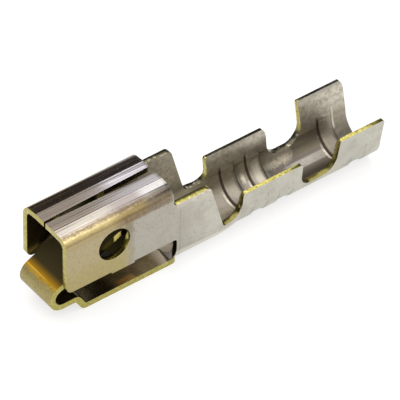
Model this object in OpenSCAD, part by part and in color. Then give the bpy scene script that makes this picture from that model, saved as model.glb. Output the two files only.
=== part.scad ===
// Female crimp terminal, stamped and folded from one strip of tin-plated brass.
// X runs from the mating end to the wire end, Y across and Z up.
// The origin is under the middle of the terminal, on the surface that it lies on.
// Sizes are in millimetres.

/* [Sheet] */
// Thickness of the sheet
sheet_t = 0.27; // [0.2:0.01:0.32]

/* [Socket box] */
// Width across the side walls
box_w = 3.0; // [2.9:0.02:3.1]
// Length of the roof, from the mating end
box_l = 5.38; // [5.0:0.02:5.8]
// Height of the roof's top face
roof_z = 4.64; // [4.4:0.02:5.0]
// Height of the side walls' lower edges
foot_z = 1.79; // [1.6:0.01:1.9]
// Outer radius of the bend between a wall and its roof flap
roof_bend_r = 0.55; // [0.4:0.01:0.58]
// Width of the roof seam at the mating end
seam_front = 0.12; // [0.05:0.01:0.2]
// Width of the roof seam at its rear end
seam_rear = 0.42; // [0.2:0.01:0.6]
// Radius of the rear corners at the roof seam
seam_corner_r = 0.14; // [0.05:0.01:0.25]
// Radius of a wall's lower front corner
wall_corner_r = 0.32; // [0.2:0.01:0.5]
// Depth of the small lip on a wall's lower edge
lip_h = 0.09; // [0.05:0.01:0.15]
// Where the lip starts, from the mating end
lip_x = 2.24; // [1.8:0.02:2.6]
// Length of the lip
lip_l = 1.16; // [0.8:0.02:1.4]

/* [Side window] */
// Radius of the round window in each side wall
window_r = 0.78; // [0.6:0.01:0.8]
// Distance of the window's centre from the mating end
window_x = 2.39; // [2.1:0.01:2.6]
// Distance of the window's centre below the roof's top face
window_drop = 1.37; // [1.35:0.01:1.5]

/* [Strip and spring tongue] */
// Clearance between the strip, loop and tongue and each side wall
strip_gap = 0.185; // [0.12:0.005:0.3]
// How far the strip reaches under the trough
strip_lap = 0.4; // [0.2:0.01:0.5]
// Radius of the strip's rear corners
strip_corner_r = 0.3; // [0.1:0.01:0.35]
// Rise of the step behind the front loop
step_h = 0.58; // [0.4:0.01:0.65]
// Slope of the step, in degrees
step_slope = 58; // [45:1:65]
// Inner radius of the step's bends
step_r = 0.1; // [0.05:0.01:0.15]
// Where the top of the step starts, from the mating end
step_x = 0.72; // [0.6:0.01:0.9]
// Inner radius of the front loop
loop_r = 0.38; // [0.35:0.005:0.45]
// Where the loop's centre lies, from the mating end
loop_x = 0.14; // [0:0.01:0.3]
// Rise of the spring tongue, in degrees
tongue_rise = 25.5; // [22:0.5:27]
// Length of the tongue's rising part
tongue_l = 3.3; // [3:0.05:3.4]
// Inner radius of the tongue's crest
crest_r = 0.3; // [0.2:0.05:0.4]
// Turn of the tongue's crest, in degrees
crest_turn = 126; // [110:1:130]
// Length of the tail behind the crest
tail_l = 1.4; // [1:0.05:1.5]

/* [Transition] */
// Height of the transition walls
transition_z = 3.71; // [3.4:0.01:3.9]
// Radius of the inner corner behind the roof
step_fillet_r = 0.16; // [0.1:0.01:0.2]
// Length of the transition wall's top edge, behind the roof
transition_l = 1.86; // [1.7:0.01:2.1]
// Radius of the transition wall's rear corner
transition_r = 0.26; // [0.1:0.01:0.35]
// Slant of the transition wall's rear edge, in degrees
transition_slant = 15; // [12:0.5:16]

/* [Trough] */
// Distance from the roof's rear edge to the trough's front edge
trough_gap = 0.15; // [0.08:0.01:0.3]
// Radius of the inner corner between that edge and the side wall's lower edge
trough_corner_r = 0.12; // [0.05:0.01:0.2]
// Outer radius of the round trough
trough_r = 1.32; // [1.25:0.01:1.36]
// Height of the trough's underside over the strip's underside
trough_lift = 0.05; // [0.02:0.01:0.08]
// Distance from the transition wall's upper rear corner to the start of the neck
neck_gap = 0.46; // [0.36:0.01:0.55]
// Radius of the neck's second curve in plan, at the outside of the wall
neck_wall_r = 0.2; // [0.1:0.05:0.4]

/* [Conductor barrel] */
// Distance from the transition wall's upper rear corner to the conductor wings
front_notch_l = 1.75; // [1.7:0.01:2]
// Length of the conductor wings
conductor_l = 3.06; // [2.8:0.02:3.2]
// Height of the conductor wings
conductor_z = 2.33; // [2.1:0.01:2.6]
// Outward lean of the conductor wings, in degrees
conductor_lean = 6.5; // [4:0.5:10]
// Floor height of the notch in front of the conductor wings
front_notch_z = 1.18; // [1.1:0.01:1.25]
// Radius of that notch at the transition
front_notch_r = 0.2; // [0.1:0.01:0.25]
// Radius of that notch at the wings
front_notch_wing_r = 0.6; // [0.4:0.01:0.65]

/* [Insulation barrel] */
// Length of the notch between the two pairs of wings
rear_notch_l = 1.8; // [1.65:0.01:1.95]
// Floor height of that notch
rear_notch_z = 0.95; // [0.85:0.01:1.05]
// Radius of that notch at the conductor wings
rear_notch_front_r = 0.55; // [0.4:0.01:0.65]
// Radius of that notch at the insulation wings
rear_notch_rear_r = 0.8; // [0.6:0.01:0.9]
// Length of the insulation wings
insulation_l = 2.3; // [2.1:0.02:2.6]
// Height of the insulation wings
insulation_z = 2.75; // [2.5:0.01:3]
// Outward lean of the insulation wings, in degrees
insulation_lean = 11; // [8:0.5:14]

/* [Wing tips and ribs] */
// Radius of the wings' upper front corners
wing_front_r = 0.12; // [0.05:0.01:0.2]
// Radius of the wings' upper rear corners
wing_rear_r = 0.2; // [0.1:0.01:0.3]
// Height of the bevel inside a wing's tip
tip_bevel_h = 0.36; // [0.2:0.01:0.45]
// Depth of the bevel inside a wing's tip
tip_bevel_d = 0.1; // [0.05:0.01:0.12]
// Height of the pressed ribs inside the barrels
rib_h = 0.08; // [0.05:0.005:0.08]
// Height that is left of a rib where it leaves the round of the trough
rib_side_h = 0.025; // [0.02:0.005:0.04]
// Length of a rib along the barrel
rib_l = 0.78; // [0.65:0.01:0.9]
// Length of the slope at each side of a rib
rib_ramp = 0.06; // [0.05:0.01:0.1]
// Height of a rib's middle above its shoulders
rib_crown = 0.01; // [0.005:0.005:0.02]
// Height of a rib's end up a wing
rib_reach = 0.26; // [0.2:0.01:0.35]
// Height over which that end fades out
rib_fade = 0.14; // [0.08:0.01:0.2]
// Distance from the conductor wings' front edge to their first rib's middle
rib_first = 0.99; // [0.95:0.01:1.1]
// Distance between the conductor barrel's ribs
rib_pitch = 1.3; // [1.2:0.01:1.35]
// Number of ribs in the conductor barrel
rib_count = 2; // [1:1:2]
// Distance from the insulation wings' front edge to their rib's middle
rib_insulation = 1.18; // [1:0.01:1.3]

/* [Hidden] */
$fn = 96;

half_w = box_w / 2;
strip_w = box_w - 2 * (sheet_t + strip_gap);
window_z = roof_z - window_drop;
trough_in_r = trough_r - sheet_t;
trough_axis_z = trough_lift + trough_r;
rib_rise = rib_h - rib_side_h;
floor_half = half_w - trough_r;
trough_x = box_l + trough_gap;
transition_x = box_l + transition_l;
neck_x = transition_x + neck_gap;
conductor_x = transition_x + front_notch_l;
conductor_end = conductor_x + conductor_l;
insulation_x = conductor_end + rear_notch_l;
terminal_end = insulation_x + insulation_l;
loop_front = loop_r + sheet_t - loop_x;
terminal_mid = (terminal_end - loop_front) / 2;
notch_mid_x = conductor_end + rear_notch_l / 2;

// The neck is two equal turns in plan that bring each side in by floor_half.
// The turn is the small angle of a 7-24-25 triangle, so the turns meet at a place in round numbers.
// It is gentler where a small floor_half would make the curves too tight for the trough.
neck_second_r = trough_r + neck_wall_r;
neck_both_r = max(25 * floor_half, 2 * neck_second_r);
neck_first_r = neck_both_r - neck_second_r;
neck_turn = acos(1 - floor_half / neck_both_r);
neck_end = neck_x + neck_both_r * sin(neck_turn);

// Largest turn between two facets of a folded strip's bends, in degrees.
facet_turn = 6;
// Clearance that cutters reach past the metal, and a length longer than the terminal.
past = 1;
far = 30;

// Sliver between a corner and the arc of radius r that rounds it.
// a1 and a2 are the directions of the two edges that leave the corner.
module corner_sliver(corner, a1, a2, r) {
    half = (a2 - a1) / 2;
    reach = r / tan(half);
    centre = r / sin(half) * [cos(a1 + half), sin(a1 + half)];
    translate(corner) difference() {
        polygon([[0, 0], reach * [cos(a1), sin(a1)], centre, reach * [cos(a2), sin(a2)]]);
        translate(centre) circle(r);
    }
}

// Ring sector of the sheet about the origin, from angle a1 to angle a2.
module bend_sector(inner_r, a1, a2) {
    reach = 2 * (inner_r + sheet_t);
    parts = 4;
    intersection() {
        difference() {
            circle(inner_r + sheet_t);
            circle(inner_r);
        }
        polygon(concat([[0, 0]], [for (i = [0:parts]) let (a = a1 + (a2 - a1) * i / parts)
            reach * [cos(a), sin(a)]]));
    }
}

// Place and heading on a strip's middle line after a bend, from [x, y, heading].
function after_bend(pose, turn, mid_r) = [
    pose[0] + mid_r * sign(turn) * (sin(pose[2] + turn) - sin(pose[2])),
    pose[1] - mid_r * sign(turn) * (cos(pose[2] + turn) - cos(pose[2])),
    pose[2] + turn];

// Places and headings along a folded strip's middle line.
// Each fold is [straight length, turn in degrees, inner radius], and a positive turn is to the left.
function fold_line(folds, pose, i = 0) = i == len(folds) ? [pose] :
    let (run = folds[i][0], turn = folds[i][1], mid_r = folds[i][2] + sheet_t / 2,
         bend = [pose[0] + run * cos(pose[2]), pose[1] + run * sin(pose[2]), pose[2]],
         facets = max(1, ceil(abs(turn) / facet_turn)))
    concat([pose], [for (k = [0:facets - 1]) after_bend(bend, turn * k / facets, mid_r)],
           fold_line(folds, after_bend(bend, turn, mid_r), i + 1));

// Outline of a folded strip of sheet whose middle line starts at the given place and heading.
module folded_strip(folds, pose) {
    line = fold_line(folds, pose);
    last = len(line) - 1;
    function beside(p, d) = [p[0] - d * sin(p[2]), p[1] + d * cos(p[2])];
    polygon(concat([for (p = line) beside(p, sheet_t / 2)],
                   [for (i = [0:last]) beside(line[last - i], -sheet_t / 2)]));
}

// Extrudes a profile drawn in Y and Z along X.
module along_x(x0, x1) {
    translate([x0, 0, 0]) rotate([90, 0, 90]) linear_extrude(x1 - x0) children();
}

// Extrudes a profile drawn in X and Z along Y.
module along_y(y0, y1) {
    translate([0, y1, 0]) rotate([90, 0, 0]) linear_extrude(y1 - y0) children();
}

// Strip, step, front loop and spring tongue, folded as one length of sheet.
// It is drawn from its rear end towards the mating end.
module strip_and_tongue() {
    flat_end = trough_x + strip_lap;
    step_mid_r = step_r + sheet_t / 2;
    step_bends = 2 * step_mid_r * (1 - cos(step_slope));
    step_run = (step_h - step_bends) / sin(step_slope);
    step_length = 2 * step_mid_r * sin(step_slope) + step_run * cos(step_slope);
    folds = [
        [flat_end - step_x - step_length, -step_slope, step_r],
        [step_run, step_slope, step_r],
        [step_x - loop_x, -(180 - tongue_rise), loop_r],
        [tongue_l, -crest_turn, crest_r],
        [tail_l, 0, 0]
    ];
    difference() {
        along_y(-strip_w / 2, strip_w / 2) folded_strip(folds, [flat_end, sheet_t / 2, 180]);
        for (side = [0, 1]) mirror([0, side, 0]) translate([0, 0, -past]) linear_extrude(2 * past)
            corner_sliver([flat_end, strip_w / 2], 180, 270, strip_corner_r);
    }
}

// Side view of a side wall, from the mating end to the neck.
module wall_outline() {
    bend_z = roof_z - roof_bend_r;
    rear_x = transition_x + (transition_z - trough_axis_z) * tan(transition_slant);
    difference() {
        union() {
            translate([0, foot_z]) square([box_l, bend_z - foot_z]);
            translate([lip_x, foot_z - lip_h]) square([lip_l, 2 * lip_h]);
            polygon([[0, foot_z], [trough_x, foot_z], [trough_x, trough_axis_z],
                     [rear_x, trough_axis_z], [transition_x, transition_z], [0, transition_z]]);
            corner_sliver([trough_x, foot_z], 180, 270, trough_corner_r);
            corner_sliver([box_l, transition_z], 0, 90, step_fillet_r);
        }
        corner_sliver([0, foot_z], 0, 90, wall_corner_r);
        corner_sliver([transition_x, transition_z], 180, 270 + transition_slant, transition_r);
    }
}

// Section of the box on one side: wall bend and roof flap.
module roof_section() {
    inner_r = roof_bend_r - sheet_t;
    translate([half_w - roof_bend_r, roof_z - roof_bend_r]) bend_sector(inner_r, 0, 90);
    translate([0, roof_z - sheet_t]) square([half_w - roof_bend_r, sheet_t]);
}

// Plan of the open seam, which widens to the rear, on one side of the middle.
module seam_plan() {
    rear = [box_l, seam_rear / 2];
    slant = atan((seam_rear - seam_front) / 2 / box_l);
    polygon([[-past, 0], [-past, seam_front / 2], [0, seam_front / 2], rear,
             [box_l + past, seam_rear / 2], [box_l + past, 0]]);
    corner_sliver(rear, 90, 180 + slant, seam_corner_r);
}

// One side of the socket box with its part of the transition.
module box_side() {
    difference() {
        union() {
            along_y(half_w - sheet_t, half_w) wall_outline();
            along_x(0, box_l) roof_section();
        }
        translate([0, 0, roof_z - roof_bend_r]) linear_extrude(far) seam_plan();
        translate([window_x, half_w - sheet_t - past, window_z]) rotate([-90, 0, 0])
            cylinder(r = window_r, h = sheet_t + 2 * past);
    }
}

// Section of one side of the trough about its bottom bend: floor, bend and leaning wall.
// X is the distance outwards from the middle of the bend.
module trough_section(lean, top_z) {
    wall_h = top_z - trough_axis_z;
    shift = wall_h * tan(lean);
    translate([-floor_half, trough_lift]) square([floor_half, sheet_t]);
    translate([0, trough_axis_z]) {
        bend_sector(trough_in_r, -90, 0);
        polygon([[trough_in_r, 0], [trough_r, 0],
                 [trough_r + shift, wall_h], [trough_in_r + shift, wall_h]]);
    }
}

// Section of a wing, with the bevel inside its tip. The tip is cut square to the leaning sheet.
module wing_section(lean, top_z) {
    tip_in = trough_in_r + (top_z - trough_axis_z) * tan(lean);
    difference() {
        trough_section(lean, top_z);
        polygon([[tip_in + past, top_z + past], [0, top_z + past], [0, top_z - tip_bevel_h],
                 [tip_in - tip_bevel_h * tan(lean), top_z - tip_bevel_h],
                 [tip_in + tip_bevel_d, top_z], [tip_in + past, top_z - (past - tip_bevel_d) * tan(lean)]]);
    }
}

// The two turns of the neck, swept in plan about upright axes.
// Each sweep is a little too long and is cut off square where the neck starts and ends.
module neck_side() {
    spare_turn = 6;
    intersection() {
        translate([neck_x, floor_half - neck_first_r, 0]) rotate(90 - neck_turn)
            rotate_extrude(angle = neck_turn + spare_turn)
                translate([neck_first_r, 0]) trough_section(0, conductor_z);
        translate([neck_x, -far / 2, -past]) cube([far, far, far]);
    }
    intersection() {
        translate([neck_end, neck_second_r, 0]) rotate(-90 - neck_turn)
            rotate_extrude(angle = neck_turn + spare_turn)
                translate([neck_second_r, 0]) mirror([1, 0]) trough_section(0, conductor_z);
        translate([neck_end - far, -far / 2, -past]) cube([far, far, far]);
    }
}

// Side view of the metal that stays in the trough: notches cut, wings rounded.
module trough_outline() {
    slant = transition_slant;
    notch_top_x = transition_x - (insulation_z - transition_z) * tan(slant);
    notch_floor_x = transition_x + (transition_z - front_notch_z) * tan(slant);
    difference() {
        translate([trough_x, -past]) square([terminal_end - trough_x, past + insulation_z]);
        difference() {
            polygon([[notch_top_x, insulation_z], [notch_floor_x, front_notch_z],
                     [conductor_x, front_notch_z], [conductor_x, conductor_z],
                     [conductor_end, conductor_z], [conductor_end, rear_notch_z],
                     [insulation_x, rear_notch_z], [insulation_x, insulation_z + past],
                     [notch_top_x, insulation_z + past]]);
            corner_sliver([notch_floor_x, front_notch_z], 0, 90 + slant, front_notch_r);
            corner_sliver([conductor_x, front_notch_z], 90, 180, front_notch_wing_r);
            corner_sliver([conductor_end, rear_notch_z], 0, 90, rear_notch_front_r);
            corner_sliver([insulation_x, rear_notch_z], 90, 180, rear_notch_rear_r);
        }
        corner_sliver([conductor_x, conductor_z], -90, 0, wing_front_r);
        corner_sliver([conductor_end, conductor_z], 180, 270, wing_rear_r);
        corner_sliver([insulation_x, insulation_z], -90, 0, wing_front_r);
        corner_sliver([terminal_end, insulation_z], 180, 270, wing_rear_r);
    }
}

// Lower half of a ring about the trough, whose crest lies at the given radius between its slopes.
module rib_ring(mid_x, wall_r, outer_r) {
    translate([mid_x, 0, trough_axis_z + rib_rise]) rotate([0, 90, 0]) rotate([0, 0, -90])
        rotate_extrude(angle = 180) polygon([
            [outer_r, -rib_l / 2], [wall_r + rib_rise, -rib_l / 2],
            [wall_r + rib_crown, -rib_l / 2 + rib_ramp], [wall_r, 0],
            [wall_r + rib_crown, rib_l / 2 - rib_ramp],
            [wall_r + rib_rise, rib_l / 2], [outer_r, rib_l / 2]]);
}

// The end of a rib up a wing: it follows the wing's face, and then sinks into it.
module rib_arm(mid_x, lean, face_y, depth) {
    base_z = trough_axis_z + rib_rise;
    arm_h = 0.8 * rib_side_h;
    base_y = face_y + rib_rise * tan(lean) - arm_h;
    follow = rib_reach - rib_fade;
    end_h = rib_reach + rib_fade / 4;
    end_y = base_y + end_h * tan(lean) + arm_h * (end_h - follow) / rib_fade;
    half_l = (rib_l - rib_ramp) / 2;
    along_x(mid_x - half_l, mid_x + half_l)
        polygon([[base_y, base_z - rib_rise], [base_y, base_z],
                 [base_y + follow * tan(lean), base_z + follow], [end_y, base_z + end_h],
                 [face_y + depth, base_z + end_h], [face_y + depth, base_z - rib_rise]]);
}

// Every rib of one side, about a wall of the given radius. The depth is how far it goes behind the wall.
module ribs(wall_r, depth) {
    for (i = [0:rib_count]) {
        is_last = i == rib_count;
        mid_x = is_last ? insulation_x + rib_insulation : conductor_x + rib_first + i * rib_pitch;
        rib_ring(mid_x, wall_r - rib_side_h, wall_r + depth);
        rib_arm(mid_x, is_last ? insulation_lean : conductor_lean, wall_r, depth);
    }
}

// One side of the trough, with both barrels.
module trough_side() {
    intersection() {
        difference() {
            union() {
                along_x(trough_x, neck_x) translate([floor_half, 0]) trough_section(0, conductor_z);
                neck_side();
                along_x(neck_end, notch_mid_x) wing_section(conductor_lean, conductor_z);
                along_x(notch_mid_x, terminal_end) wing_section(insulation_lean, insulation_z);
                ribs(trough_in_r, sheet_t / 2);
            }
            ribs(trough_r, past);
        }
        along_y(0, half_w + past) trough_outline();
    }
}

// The whole terminal, one folded sheet.
module terminal() {
    color([0.72, 0.69, 0.62]) translate([-terminal_mid, 0, 0]) {
        strip_and_tongue();
        for (side = [0, 1]) mirror([0, side, 0]) {
            box_side();
            trough_side();
        }
    }
}

terminal();
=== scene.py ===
# %% [markdown]
# A female crimp terminal, dressed for its portrait
#
# The real part is one strip of thin brass, tin-plated before a press cuts and folds it. The plating
# is warm grey, and every edge that the press cut afterwards is bare yellow brass. It could be modelled
# afresh, fold by fold, but the solid model already has the folds, the spring tongue and the crimp
# wings. So this lesson keeps that shape, softens its edges, tells plated faces from cut ones, and gives
# each its own metal.

# %% Load the frame
import math

import bmesh
import bpy
from mathutils import Matrix, Vector
from mathutils.bvhtree import BVHTree


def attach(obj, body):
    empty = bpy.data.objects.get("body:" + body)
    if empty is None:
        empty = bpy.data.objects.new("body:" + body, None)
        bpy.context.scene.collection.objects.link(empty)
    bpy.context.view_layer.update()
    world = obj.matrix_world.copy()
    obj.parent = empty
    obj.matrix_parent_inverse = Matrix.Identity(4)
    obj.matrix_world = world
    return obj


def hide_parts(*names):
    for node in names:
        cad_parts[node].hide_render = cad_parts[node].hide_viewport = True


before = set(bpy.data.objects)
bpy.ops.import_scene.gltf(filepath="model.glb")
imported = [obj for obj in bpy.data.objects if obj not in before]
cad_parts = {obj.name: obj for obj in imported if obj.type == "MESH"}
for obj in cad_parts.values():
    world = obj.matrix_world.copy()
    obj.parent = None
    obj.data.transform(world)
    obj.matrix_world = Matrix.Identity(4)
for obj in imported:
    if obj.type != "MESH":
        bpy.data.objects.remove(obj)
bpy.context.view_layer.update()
MM = 0.001


# %% [markdown]
# Where the camera stood
#
# The camera comes first, because every later choice is judged through it. The photograph was taken from
# the mating end, on the near side, looking down at about 43 degrees. A camera could be aimed by hand,
# but two angles and one small roll say the same exactly, and can be changed one at a time. Three
# directions follow from them: back to the camera, and right and up in the picture.

# %% Which way the camera looks
AZIMUTH = math.radians(-37.16)
ELEVATION = math.radians(42.92)
ROLL = math.radians(0.616)

back = Vector((
    math.sin(AZIMUTH) * math.cos(ELEVATION),
    -math.cos(AZIMUTH) * math.cos(ELEVATION),
    math.sin(ELEVATION),
))
level = Vector((math.cos(AZIMUTH), math.sin(AZIMUTH), 0.0))
upright = back.cross(level)
right = level * math.cos(ROLL) + upright * math.sin(ROLL)
up = upright * math.cos(ROLL) - level * math.sin(ROLL)
print("from the part to the camera:", [round(value, 3) for value in back])

# %% [markdown]
# Lines that run along the part stay almost parallel in the photograph, so the lens was long. A camera
# with no perspective would come close, but the little that is left shows at the two ends. So the lens
# stands 300 mm away, and its length follows from how many pixels a millimetre of the part takes up.

# %% The long lens
DISTANCE = 300 * MM
PIXELS_PER_MM = 24.447
FRAME_PIXELS = 400
SENSOR_WIDTH = 36.0
AIM = Vector((0.18, 0.0, 2.0)) * MM
AIM_RIGHT = 0.1442 * MM
AIM_UP = 0.3744 * MM
NEAREST_SEEN = 0.01
FARTHEST_SEEN = 5.0

camera_data = bpy.data.cameras.new("long_lens")
camera_data.sensor_width = SENSOR_WIDTH
camera_data.lens = SENSOR_WIDTH * PIXELS_PER_MM * (DISTANCE / MM) / FRAME_PIXELS
camera_data.clip_start = NEAREST_SEEN
camera_data.clip_end = FARTHEST_SEEN
camera = bpy.data.objects.new("long_lens", camera_data)
bpy.context.scene.collection.objects.link(camera)
turn = Matrix((right, up, back)).transposed().to_4x4()
stand = AIM + back * DISTANCE - right * AIM_RIGHT - up * AIM_UP
camera.matrix_world = Matrix.Translation(stand) @ turn
bpy.context.scene.camera = camera
print("lens, mm:", round(camera_data.lens, 1))

# %% [markdown]
# The folded sheet
#
# The whole terminal is one piece. The solid itself has to stay as it is, so the piece starts as a copy of
# its mesh. The copy is loose triangles, and its doubles are merged first, because a bevel needs edges that
# two faces share. The work is done in millimetres, because the operators' own tolerances are too coarse
# for a part this small in metres.

# %% Copy the sheet
MERGE = 0.0005

sheet = bmesh.new()
sheet.from_mesh(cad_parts["terminal"].data)
bmesh.ops.scale(sheet, vec=(1 / MM,) * 3, verts=sheet.verts)
bmesh.ops.remove_doubles(sheet, verts=sheet.verts, dist=MERGE)
bmesh.ops.dissolve_degenerate(sheet, edges=sheet.edges, dist=MERGE)
open_edges = [edge for edge in sheet.edges if not edge.is_manifold]
print("faces:", len(sheet.faces), "edges that are not closed:", len(open_edges))

# %% [markdown]
# Shoulders on the roof
#
# On the real part the roof doesn't run flat into its bends: a press line parallel to the seam breaks each
# half, and the shoulder outside it leans down by a few degrees. It hardly shows in the outline, but it
# splits the reflection into a light strip and a dark one, with an edge that a bump would only smear. A
# cut with a plane on either side of the seam adds the edges that the line needs.

# %% Cut the press lines
ROOF_UNDER_Z = 4.2
ROOF_FLAT = 0.65
CUT_SNAP = 0.0001

roof = [face for face in sheet.faces if face.calc_center_median().z > ROOF_UNDER_Z]
for side in (-1, 1):
    parts = {item for face in roof for item in (face, *face.edges, *face.verts)}
    cut = bmesh.ops.bisect_plane(
        sheet,
        geom=list(parts),
        dist=CUT_SNAP,
        plane_co=(0, side * ROOF_FLAT, 0),
        plane_no=(0, 1, 0),
    )
    roof = [item for item in cut["geom"] if isinstance(item, bmesh.types.BMFace)]
print("faces in the roof:", len(roof))

# %% [markdown]
# The points outside a press line are then lowered, the more the farther out they are, until the bend. A
# turn about the line would do the same for the shoulder, but it would tear it from the bend. So the bend
# comes along, and the lowering fades out on the way down to the wall.

# %% Lower the shoulders
BOX_REAR = -2.3
SHOULDER_W = 0.3
SHOULDER_TILT = math.radians(6.0)
WALL_Z = 3.6


def smooth_step(value, low, high):
    share = min(max((value - low) / (high - low), 0.0), 1.0)
    return share * share * (3 - 2 * share)


deepest = 0.0
for vert in sheet.verts:
    if vert.co.x < BOX_REAR:
        out = min(max(abs(vert.co.y) - ROOF_FLAT, 0.0), SHOULDER_W)
        drop = out * math.tan(SHOULDER_TILT) * smooth_step(vert.co.z, WALL_Z, ROOF_UNDER_Z)
        vert.co.z -= drop
        deepest = max(deepest, drop)
sheet.normal_update()
print("shoulders lowered by up to, mm:", round(deepest, 3))

# %% [markdown]
# Plated face or cut edge
#
# Three metals will share this mesh: plating, bare cut edges, and the plating inside the box, painted dark
# as shade. Faces picked by hand would be lost with the next change of shape, so rays from each face will
# sort them. Two kinds of place need a name for that: the inside of the box, and the small steps beside the
# pressed ribs and at their ends, which are plated although they look like edges.

# %% Inside the box, and beside a rib
BOX_FRONT = -7.7
BOX_INSIDE_HALF = 1.24
BOX_INSIDE_TOP = ROOF_UNDER_Z + 0.2
STRIP_TOP = 0.26
RIB_SPANS = ((1.7, 3.95), (6.75, 7.7))
RIB_ENDS_Z = (1.3, 1.5)
RIB_SIDE = 0.3


def inside_box(place):
    along = BOX_FRONT < place.x < BOX_REAR
    upwards = STRIP_TOP < place.z < BOX_INSIDE_TOP
    return along and upwards and abs(place.y) < BOX_INSIDE_HALF


def beside_rib(face, place):
    at_rib = any(low < place.x < high for low, high in RIB_SPANS)
    at_end = RIB_ENDS_Z[0] < place.z < RIB_ENDS_Z[1]
    return at_rib and (at_end or abs(face.normal.x) > RIB_SIDE)


steps = [face for face in sheet.faces if beside_rib(face, face.calc_center_median())]
print("triangles beside the ribs:", len(steps))

# %% [markdown]
# A ray sent straight into the metal from a plated face soon leaves by a face that looks the opposite way.
# From a cut edge it runs on through the width of the sheet, or leaves at a slant. That one test finds the
# edges round the window and the notches as well, with no list of places. A second ray, sent outwards,
# finds the plated faces inside the box, which look at another wall.

# %% Sort the faces
PLATED, CUT, ENCLOSED = 0, 1, 2
LONGEST_THROUGH = 0.45
OPPOSITE = -0.6
WIDEST_INSIDE = 4.0
SKIN = 0.001

tree = BVHTree.FromBMesh(sheet)
for face in sheet.faces:
    centre = face.calc_center_median()
    inwards = tree.ray_cast(centre - face.normal * SKIN, -face.normal)
    leaves_by, through = inwards[1], inwards[3]
    gap = tree.ray_cast(centre + face.normal * SKIN, face.normal)[3]
    through_sheet = through is not None and through < LONGEST_THROUGH
    through_sheet = through_sheet and leaves_by.dot(face.normal) < OPPOSITE
    faces_wall = gap is not None and gap < WIDEST_INSIDE and centre.x < BOX_REAR
    if not through_sheet and not beside_rib(face, centre):
        face.material_index = CUT
    elif faces_wall or inside_box(centre):
        face.material_index = ENCLOSED
counts = [sum(face.material_index == kind for face in sheet.faces) for kind in (PLATED, CUT, ENCLOSED)]
print("plated, cut and enclosed triangles:", counts)

# %% [markdown]
# A cut edge always meets the plating at a sharp corner. Just under a notch a ray can leave by the notch
# and fool the test, so each smooth patch of the surface then loses its cut faces if they are less than
# half of it. A patch grows from one face to the next, over every edge that is nearly flat.

# %% Settle each smooth patch
SMOOTH = math.radians(20)


def smooth_patch(first):
    patch = {first}
    waiting = [first]
    while waiting:
        for edge in waiting.pop().edges:
            if edge.is_manifold and edge.calc_face_angle(0.0) < SMOOTH:
                found = set(edge.link_faces) - patch
                patch |= found
                waiting += found
    return patch


unsettled = set(sheet.faces)
changed = 0
while unsettled:
    patch = smooth_patch(next(iter(unsettled)))
    unsettled -= patch
    cut_faces = [face for face in patch if face.material_index == CUT]
    cut_area = sum(face.calc_area() for face in cut_faces)
    if 2 * cut_area < sum(face.calc_area() for face in patch):
        for face in cut_faces:
            face.material_index = ENCLOSED if inside_box(face.calc_center_median()) else PLATED
            changed += 1
print("triangles that joined their patch:", changed)

# %% [markdown]
# The solid's flats are cut into long thin triangles, which would spoil a bevel's corners. They are
# dissolved into one face for each flat, but never across the line between plating and cut edge.

# %% Clear the flats
FLAT = math.radians(0.4)

bmesh.ops.dissolve_limit(
    sheet,
    angle_limit=FLAT,
    verts=sheet.verts,
    edges=sheet.edges,
    use_dissolve_boundaries=False,
    delimit={"MATERIAL"},
)
print("faces on cleared flats:", len(sheet.faces))

# %% [markdown]
# Softened edges
#
# A press never leaves a perfectly sharp edge: the punch rolls it over by a few hundredths of a millimetre.
# A Bevel modifier could do it, but the operator gives back the new faces, and behind the box these are
# still plated. The bends stay as they are, because their facets meet at small angles.

# %% Roll the edges over
EDGE_ROLL = 0.022
SHARP = math.radians(40)

sharp_edges = [
    edge for edge in sheet.edges
    if edge.is_manifold and edge.calc_face_angle(0.0) > SHARP
]
rolled = bmesh.ops.bevel(
    sheet,
    geom=sharp_edges,
    offset=EDGE_ROLL,
    offset_type="OFFSET",
    affect="EDGES",
    segments=2,
    profile=0.5,
    material=-1,
    clamp_overlap=True,
)
for face in rolled["faces"]:
    if face.calc_center_median().x > BOX_REAR:
        face.material_index = PLATED
print("edges rolled over:", len(sharp_edges), "faces:", len(sheet.faces))

# %% [markdown]
# The facets of a bend have to look round. More facets would do it, but smooth shading needs none. The
# press lines on the roof are marked sharp, because there the reflection has to break.

# %% Smooth bends and sharp press lines
ON_LINE = 0.001


def on_press_line(vert):
    return abs(abs(vert.co.y) - ROOF_FLAT) < ON_LINE and vert.co.z > ROOF_UNDER_Z


for face in sheet.faces:
    face.smooth = True
press_lines = [edge for edge in sheet.edges if all(on_press_line(vert) for vert in edge.verts)]
for edge in press_lines:
    edge.smooth = False
bmesh.ops.scale(sheet, vec=(MM,) * 3, verts=sheet.verts)
print("edges on press lines:", len(press_lines))

# %% [markdown]
# The mesh, in metres again, becomes an object that stands in for the solid. Smooth shading alone would
# make the flats look pillowed beside their narrow bevels. Splitting the edges would cure that, but it
# would leave hard lines, so the normals are weighted by area instead.

# %% Put the sheet in the scene
FLAT_WEIGHT = 50

sheet_mesh = bpy.data.meshes.new("folded_sheet")
sheet.to_mesh(sheet_mesh)
sheet.free()
folded_sheet = bpy.data.objects.new("folded_sheet", sheet_mesh)
bpy.context.scene.collection.objects.link(folded_sheet)
weighted = folded_sheet.modifiers.new("flat_stays_flat", "WEIGHTED_NORMAL")
weighted.mode = "FACE_AREA"
weighted.weight = FLAT_WEIGHT
weighted.keep_sharp = True
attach(folded_sheet, "root")
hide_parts("terminal")
print("points in the sheet:", len(sheet_mesh.vertices))

# %% [markdown]
# Writing a finish as sums
#
# A finish is a graph of nodes, and most of it is arithmetic on masks. The graph could be wired node by
# node, but nobody could read it. A small class wraps an output socket, so that masks are written as plain
# expressions: each sign adds its Math node. A rise goes smoothly from 0 to 1, and a fall the other way. A
# band is a rise, a flat stretch and a fall, and its third number is the width of its soft edges. A place
# that strays is pushed about by a noise, so that no stain has a ruled edge.

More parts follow.
